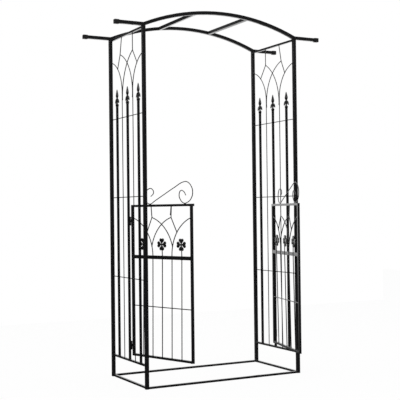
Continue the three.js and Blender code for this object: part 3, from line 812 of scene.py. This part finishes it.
def makeClovers(name, heading):
    clover = makeClover("clover")
    upright = Matrix.Rotation(math.pi / 2, 4, "X")
    copies = []
    for column in gateLeaf["cloverRods"]:
        across = heading * (gateLeaf["middle"] + column * gateLeaf["pitch"])
        spot = (across, wirePlane(gateLeaf["clover"]) - gateLeaf["cloverAhead"], gateLeaf["clover"])
        copies.append(copyTo(clover, Matrix.Translation(spot) @ upright))
    bpy.data.objects.remove(clover)
    return joinPieces(copies, name)


# The crest: one round wire, curled at both ends

crestSettings = {
    "start": 0.1115,  # from the pin to the small curl
    "length": 0.357,
    "height": 0.117,
    "base": 0.9882,  # lowest axis above the ground
    "wire": 2.5 * mm,
    "steps": 5,
    "endTaper": 0.86,
    # shares of the length and height, from the small curl's inner end to the large curl's
    "run": (
        (0.12, 0.35), (0.18, 0.52), (0.15, 0.69), (0.085, 0.72), (0.018, 0.57), (0, 0.31), (0.036, 0.07),
        (0.106, 0), (0.2, 0.13), (0.43, 0.46), (0.64, 0.755), (0.806, 0.965), (0.89, 0.965), (0.97, 0.77),
        (1, 0.5), (0.965, 0.2), (0.885, 0.035), (0.82, 0.01), (0.748, 0.17), (0.723, 0.385), (0.757, 0.58),
        (0.82, 0.53), (0.86, 0.36),
    ),
    "feet": ((0.106, 0), (0.84, 0.005)),  # where the curls are welded to the top rail
    "footBead": (7.0 * mm, 3.4 * mm, 2.2 * mm),
}


def makeCrest(name, heading):
    look = crestSettings
    bpy.ops.object.select_all(action="DESELECT")
    bpy.ops.curve.primitive_bezier_curve_add(location=(0, 0, 0))
    curve = bpy.context.object.data
    curve.dimensions = "3D"
    curve.resolution_u = look["steps"]
    curve.bevel_depth = look["wire"]
    curve.bevel_resolution = makingSettings["scrollRounding"]
    curve.use_fill_caps = True
    spline = curve.splines[0]
    spline.bezier_points.add(len(look["run"]) - len(spline.bezier_points))
    last = len(look["run"]) - 1
    for index, (point, (along, up)) in enumerate(zip(spline.bezier_points, look["run"])):
        across = heading * (look["start"] + along * look["length"])
        point.co = (across, gateLeaf["plane"], look["base"] + look["wire"] + up * look["height"])
        point.handle_left_type = "AUTO"
        point.handle_right_type = "AUTO"
        point.radius = look["endTaper"] if index in (0, last) else 1.0
    return convertCurve(name, "wire")


def makeLeafWelds(piece, heading):
    look, crest = gateLeaf, crestSettings
    leg, size, plane = look["leg"], look["size"], look["plane"]
    flat = (0, 0)
    for end in (-1, 1):
        wall = heading * (look["middle"] + end * look["halfClear"])
        facing = (-heading * end, 0, 0)
        for up, tall in (look["bottomRail"], look["middleRail"]):
            addFillet(piece, (wall, plane, up), facing, (size, tall), (flat, (leg, leg)), leg)
        stile = heading * (look["middle"] + end * (look["halfClear"] + size / 2))
        legs = (leg, 0) if heading * end > 0 else (0, leg)
        addFillet(piece, (stile, plane, look["top"]), (0, 0, -1), (size, size), (legs, flat), leg)
    for along, up in crest["feet"]:
        across = heading * (crest["start"] + along * crest["length"])
        addBead((across, plane, crest["base"] + up * crest["height"]), crest["footBead"])


for sideName, side in sides.items():
    heading = -side  # a leaf runs from its pin towards the middle of the walkway
    body = f"{sideName}_gate"
    opened = leafTurn(sideName)
    wires, welds = [], []
    makeGateTracery(heading, wires, welds)
    piece = makeWires(f"{body}_wires", wires, gateLeaf["wire"])
    setPlace(piece, opened)
    finishPiece(piece, piece.name, body, "tubeCoat", [f"{body}_tracery"])
    piece = startBeads(f"{body}_beads", welds)
    makeLeafWelds(piece, heading)
    closePiece("weld")
    setPlace(piece, opened)
    finishPiece(piece, piece.name, body, "weldCoat")
    piece = makeClovers(f"{body}_clovers", heading)
    setPlace(piece, opened)
    finishPiece(piece, piece.name, body, "castCoat")
    piece = makeCrest(f"{body}_scroll", heading)
    setPlace(piece, opened)
    finishPiece(piece, piece.name, body, "tubeCoat", [f"{body}_crest"])
print("gate leaves wired")

# Finials: a lens-shaped spear blade, two drooping leaves in one flat casting, and a flared collar

finialSettings = {
    # millimetres above the bar: half width, half thickness, height
    "blade": (
        (4.0, 3.4, 41.0), (5.0, 4.2, 48.0), (8.4, 5.2, 52.5), (13.4, 5.9, 57.5), (15.6, 6.0, 62.0), (14.4, 5.6, 68.0),
        (11.4, 4.9, 76.0), (8.0, 4.0, 84.5), (5.0, 3.0, 92.0), (2.8, 2.0, 97.0), (1.0, 0.8, 98.8),
    ),
    "bladeSides": 16,
    "leafThickness": 7.0,
    "leafEdge": 2.4,
    "steps": 6,
    # right half of the two leaves from the root up: across, up, sharp
    "leaves": (
        (4.6, 13.0, True), (5.0, 24.6, False), (12.6, 28.2, False), (19.2, 20.4, False), (23.4, 19.6, False),
        (24.0, 28.0, False), (19.6, 39.0, False), (11.6, 45.6, False), (5.0, 47.4, True),
    ),
    "collar": (
        (8.2, 0.0), (8.6, 2.0), (8.8, 5.0), (9.9, 7.6), (10.4, 10.2), (9.8, 12.6), (7.4, 14.6), (5.6, 17.4),
        (4.8, 21.0), (4.4, 25.0),
    ),
    "collarSides": 20,
    "knot": ((5.0, 6.4, 3.2), 47.4),
    "stem": 1553.3,  # top of the bar above the ground
}


# a stack of rings, from the first to the last, each (half width along Y, half width along X, height)
def addStack(rings, sideCount):
    wide, thick, low = rings[0]
    bpy.ops.mesh.select_all(action="DESELECT")
    bpy.ops.mesh.primitive_circle_add(vertices=sideCount, radius=mm, location=(0, 0, low * mm), fill_type="NGON")
    bpy.ops.transform.resize(value=(thick, wide, 1), center_override=(0, 0, low * mm))
    for (wideBefore, thickBefore, below), (wide, thick, above) in zip(rings, rings[1:]):
        bpy.ops.mesh.extrude_region_move(TRANSFORM_OT_translate={"value": (0, 0, (above - below) * mm)})
        ratio = (thick / thickBefore, wide / wideBefore, 1)
        bpy.ops.transform.resize(value=ratio, center_override=(0, 0, above * mm))


def makeFinial():
    look = finialSettings
    right = [(across * mm, up * mm, sharp) for across, up, sharp in look["leaves"]]
    outline = right + [(-across, up, sharp) for across, up, sharp in reversed(right)]
    leaves = addPlate("leaves", outline, look["leafThickness"] * mm, look["leafEdge"] * mm, look["steps"])
    setPlace(leaves, Matrix.Rotation(math.pi / 2, 4, "Z") @ Matrix.Rotation(math.pi / 2, 4, "X"))
    turned = startPiece("turned")
    addStack([(wide, wide, up) for wide, up in look["collar"]], look["collarSides"])
    addStack(look["blade"], look["bladeSides"])
    (wide, deep, tall), up = look["knot"]
    addBall((0, 0, up * mm), (wide * mm, deep * mm, tall * mm))
    closePiece("turned")
    return joinPieces([leaves, turned], "finial")


for sideName, side in sides.items():
    pattern = makeFinial()
    x = archMiddle[0] + side * sidePanel["plane"]
    for placeName, across in zip(("front", "middle", "back"), spearPlaces):
        spot = Matrix.Translation((x, archMiddle[1] + across, finialSettings["stem"] * mm))
        piece = copyTo(pattern, spot)
        name = f"{sideName}_{placeName}_finial"
        finishPiece(piece, name + "_casting", "frame", "castCoat", [name])
    bpy.data.objects.remove(pattern)
print("finials cast")

# Welds of the frame's square tubes

frameWelds = {
    "post": 9.5 * mm,  # half a post
    "bar": 12 * mm,
    "leg": 1.6 * mm,
    "width": 0.966,
    "depth": 0.466,
    "railHeights": (0.124, 1.945),
    "groundHeight": 0.006,
    "foot": 0.130,
}


def makeFrameWelds():
    look = frameWelds
    leg, bar = look["leg"], look["bar"]
    both, none = (leg, leg), (0, 0)
    piece = startPiece("frame_welds")
    for y in (0, look["depth"]):
        for wall, way in ((look["post"], 1), (look["width"] - look["post"], -1)):
            addFillet(piece, (wall, y, look["groundHeight"]), (way, 0, 0), (bar, bar), (both, (0, leg)), leg)
    for side in sides.values():
        x = archMiddle[0] + side * sidePanel["plane"]
        outer = (leg, 0) if side < 0 else (0, leg)
        for wall, way in ((look["post"], 1), (look["depth"] - look["post"], -1)):
            addFillet(piece, (x, wall, look["groundHeight"]), (0, way, 0), (bar, bar), (outer, (0, leg)), leg)
            low, high = look["railHeights"]
            addFillet(piece, (x, wall, low), (0, way, 0), (bar, bar), (outer, both), leg)
            addFillet(piece, (x, wall, high), (0, way, 0), (bar, bar), (outer, (leg, 0)), leg)
        for across in spearPlaces:
            foot = (x, archMiddle[1] + across, look["foot"])
            addFillet(piece, foot, (0, 0, 1), (bar, bar), (none, both), leg)
    closePiece("fillet")
    finishPiece(piece, piece.name, "frame", "weldCoat")


makeFrameWelds()
print("frame welded")

# Button-head screws: two through each post top into the beam's spigot, and one at each end of a crossbar

screwSettings = {
    "radius": 4.3 * mm,
    "sides": 24,
    "height": 2.6 * mm,
    "dome": 1.7 * mm,
    "domeSteps": 4,
    "socket": 1.5 * mm,  # radius of the hexagonal recess
    "socketSides": 6,
    "socketDepth": 1.5 * mm,
    "postHeights": (1.877, 1.922),
    "crossbarX": 0.167,
    "crossbarZ": 2.0437,
}


def makeScrew():
    look = screwSettings
    bpy.ops.object.select_all(action="DESELECT")
    bpy.ops.mesh.primitive_cylinder_add(
        vertices=look["sides"], radius=look["radius"], depth=look["height"], location=(0, 0, look["height"] / 2)
    )
    screw = bpy.context.object
    setPlace(screw, Matrix.Identity(4))
    rounding = screw.modifiers.new("rounding", "BEVEL")
    rounding.width = look["dome"]
    rounding.segments = look["domeSteps"]
    rounding.limit_method = "ANGLE"
    bpy.ops.object.modifier_apply(modifier=rounding.name)
    bpy.ops.mesh.primitive_cylinder_add(
        vertices=look["socketSides"], radius=look["socket"], depth=2 * look["socketDepth"],
        location=(0, 0, look["height"]),
    )
    key = bpy.context.object
    selectOnly(screw)
    recess = screw.modifiers.new("recess", "BOOLEAN")
    recess.object = key
    recess.operation = "DIFFERENCE"
    bpy.ops.object.modifier_apply(modifier=recess.name)
    bpy.data.objects.remove(key)
    selectOnly(screw)
    smoothPiece("screw")
    return screw


def makeScrews():
    look = screwSettings
    screw = makeScrew()
    copies = []
    for side in sides.values():
        turn = Matrix.Rotation(side * math.pi / 2, 4, "Y")
        wall = archMiddle[0] + side * (archMiddle[0] + frameWelds["post"])
        for y in (0, frameWelds["depth"]):
            for up in look["postHeights"]:
                copies.append(copyTo(screw, Matrix.Translation((wall, y, up)) @ turn))
        for end in (-1, 1):
            turn = Matrix.Rotation(-end * math.pi / 2, 4, "X")
            x = archMiddle[0] + side * look["crossbarX"]
            wall = archMiddle[1] + end * (archMiddle[1] + frameWelds["post"])
            copies.append(copyTo(screw, Matrix.Translation((x, wall, look["crossbarZ"])) @ turn))
    bpy.data.objects.remove(screw)
    piece = joinPieces(copies, "frame_screws")
    finishPiece(piece, piece.name, "frame", "screwCoat")


makeScrews()
print("screws set")

# studio

studioSettings = {
    "paper": (0.86, 0.86, 0.86, 1),
    "floorWhite": 0.94,  # share of plain white that the camera sees, the rest is lit paper with the shadow
    "backdropWhite": 1.0,
    "floorSize": 14.0,
    "floorPlace": (0.5, 0.2, 0),
    "backdropY": 3.2,
    "backdropX": 2.0,
    "backdropWidth": 4.4,
    "backdropHeight": 4.2,
    # what glossy faces see: a dark floor with a lighter patch, and a backdrop that fades downwards
    "floorGlowPlace": (1.5, 2.5, 0),
    "floorGlowReach": 2.5,
    "floorGlow": 0.35,
    "floorDark": 0.02,
    "backdropDim": 0.15,
    "backdropBright": 0.75,
    "backdropLow": 0.35,
}


def plainShader(name):
    material = bpy.data.materials.new(name)
    material.use_nodes = True
    material.node_tree.nodes.clear()
    return material, material.node_tree.nodes, material.node_tree.links


# white paper for the camera; what glossy faces see of it is set apart, from its place in the room
def paperMaterial(name, cameraShare, glossAt):
    material, nodes, links = plainShader(name)
    out = nodes.new("ShaderNodeOutputMaterial")
    paper = nodes.new("ShaderNodeBsdfDiffuse")
    paper.inputs["Color"].default_value = studioSettings["paper"]
    glow = nodes.new("ShaderNodeEmission")
    path = nodes.new("ShaderNodeLightPath")
    place = nodes.new("ShaderNodeNewGeometry")
    share = mathNode(nodes, "MULTIPLY", second=cameraShare)
    seen = mathNode(nodes, "MAXIMUM")
    strength = mathNode(nodes, "MAXIMUM")
    mix = nodes.new("ShaderNodeMixShader")
    links.new(path.outputs["Is Camera Ray"], share.inputs[0])
    links.new(share.outputs[0], seen.inputs[0])
    links.new(path.outputs["Is Glossy Ray"], seen.inputs[1])
    links.new(seen.outputs[0], mix.inputs["Fac"])
    links.new(path.outputs["Is Camera Ray"], strength.inputs[0])
    links.new(glossAt(nodes, links, place.outputs["Position"]), strength.inputs[1])
    links.new(strength.outputs[0], glow.inputs["Strength"])
    links.new(paper.outputs[0], mix.inputs[1])
    links.new(glow.outputs[0], mix.inputs[2])
    clear = nodes.new("ShaderNodeBsdfTransparent")
    oneSided = nodes.new("ShaderNodeMixShader")  # a view from behind the paper sees through it
    links.new(place.outputs["Backfacing"], oneSided.inputs["Fac"])
    links.new(mix.outputs[0], oneSided.inputs[1])
    links.new(clear.outputs[0], oneSided.inputs[2])
    links.new(oneSided.outputs[0], out.inputs["Surface"])
    return material


def floorGloss(nodes, links, place):
    away = nodes.new("ShaderNodeVectorMath")
    away.operation = "DISTANCE"
    away.inputs[1].default_value = studioSettings["floorGlowPlace"]
    fade = nodes.new("ShaderNodeMapRange")
    fade.inputs["From Max"].default_value = studioSettings["floorGlowReach"]
    fade.inputs["To Min"].default_value = studioSettings["floorGlow"]
    fade.inputs["To Max"].default_value = studioSettings["floorDark"]
    links.new(place, away.inputs[0])
    links.new(away.outputs["Value"], fade.inputs["Value"])
    return fade.outputs["Result"]


def backdropGloss(nodes, links, place):
    split = nodes.new("ShaderNodeSeparateXYZ")
    rise = nodes.new("ShaderNodeMapRange")
    rise.inputs["From Min"].default_value = studioSettings["backdropDim"]
    rise.inputs["From Max"].default_value = studioSettings["backdropBright"]
    rise.inputs["To Min"].default_value = studioSettings["backdropLow"]
    links.new(place, split.inputs["Vector"])
    links.new(split.outputs["Z"], rise.inputs["Value"])
    return rise.outputs["Result"]


def addStudio():
    bpy.ops.mesh.primitive_plane_add(size=studioSettings["floorSize"], location=studioSettings["floorPlace"])
    floor = bpy.context.object
    floor.name = "floor"
    floor.data.materials.append(paperMaterial("floorPaper", studioSettings["floorWhite"], floorGloss))
    place = (studioSettings["backdropX"], studioSettings["backdropY"], studioSettings["backdropHeight"] / 2)
    bpy.ops.mesh.primitive_plane_add(size=1, location=place, rotation=(math.pi / 2, 0, 0))
    backdrop = bpy.context.object
    backdrop.name = "backdrop"
    backdrop.scale = (studioSettings["backdropWidth"], studioSettings["backdropHeight"], 1)
    backdrop.data.materials.append(paperMaterial("backdropPaper", studioSettings["backdropWhite"], backdropGloss))


lampSettings = [
    {"name": "leftBox", "place": (-3.6, 0.4, 3.0), "aim": (0.4, 0.2, 1.0), "size": 1.6, "power": 30},
    {"name": "topBox", "place": (0.6, -0.6, 4.4), "aim": (0.5, 0.2, 1.0), "size": 2.2, "power": 40},
    {"name": "rightBox", "place": (4.4, -0.6, 2.6), "aim": (0.5, 0.2, 1.0), "size": 1.6, "power": 16},
]


def addLamps():
    for lamp in lampSettings:
        place = Vector(lamp["place"])
        turn = (Vector(lamp["aim"]) - place).to_track_quat("-Z", "Y")
        bpy.ops.object.light_add(type="AREA", location=place, rotation=turn.to_euler())
        light = bpy.context.object
        light.name = lamp["name"]
        light.data.size = lamp["size"]
        light.data.energy = lamp["power"]


worldSettings = {
    "colour": (1, 1, 1, 1),
    "around": 0.75,
    "glossLow": 0.01,  # what a glossy face sees below the horizon
    "glossHigh": 0.07,  # and well above it
    "glossFrom": -0.06,
    "glossTo": 0.16,
}


def addWorld():
    world = bpy.data.worlds.new("studioAir")
    bpy.context.scene.world = world
    world.use_nodes = True
    nodes = world.node_tree.nodes
    links = world.node_tree.links
    background = nodes["Background"]
    background.inputs["Color"].default_value = worldSettings["colour"]
    path = nodes.new("ShaderNodeLightPath")
    towards = nodes.new("ShaderNodeTexCoord")
    split = nodes.new("ShaderNodeSeparateXYZ")
    height = nodes.new("ShaderNodeMapRange")
    height.inputs["From Min"].default_value = worldSettings["glossFrom"]
    height.inputs["From Max"].default_value = worldSettings["glossTo"]
    height.inputs["To Min"].default_value = worldSettings["glossLow"]
    height.inputs["To Max"].default_value = worldSettings["glossHigh"]
    gloss = nodes.new("ShaderNodeMapRange")
    gloss.inputs["To Min"].default_value = worldSettings["around"]
    seen = mathNode(nodes, "MAXIMUM")
    links.new(towards.outputs["Generated"], split.inputs["Vector"])
    links.new(split.outputs["Z"], height.inputs["Value"])
    links.new(height.outputs["Result"], gloss.inputs["To Max"])
    links.new(path.outputs["Is Glossy Ray"], gloss.inputs["Value"])
    links.new(gloss.outputs["Result"], seen.inputs[0])
    links.new(path.outputs["Is Camera Ray"], seen.inputs[1])
    links.new(seen.outputs[0], background.inputs["Strength"])


addStudio()
addLamps()
addWorld()
print("studio lit")
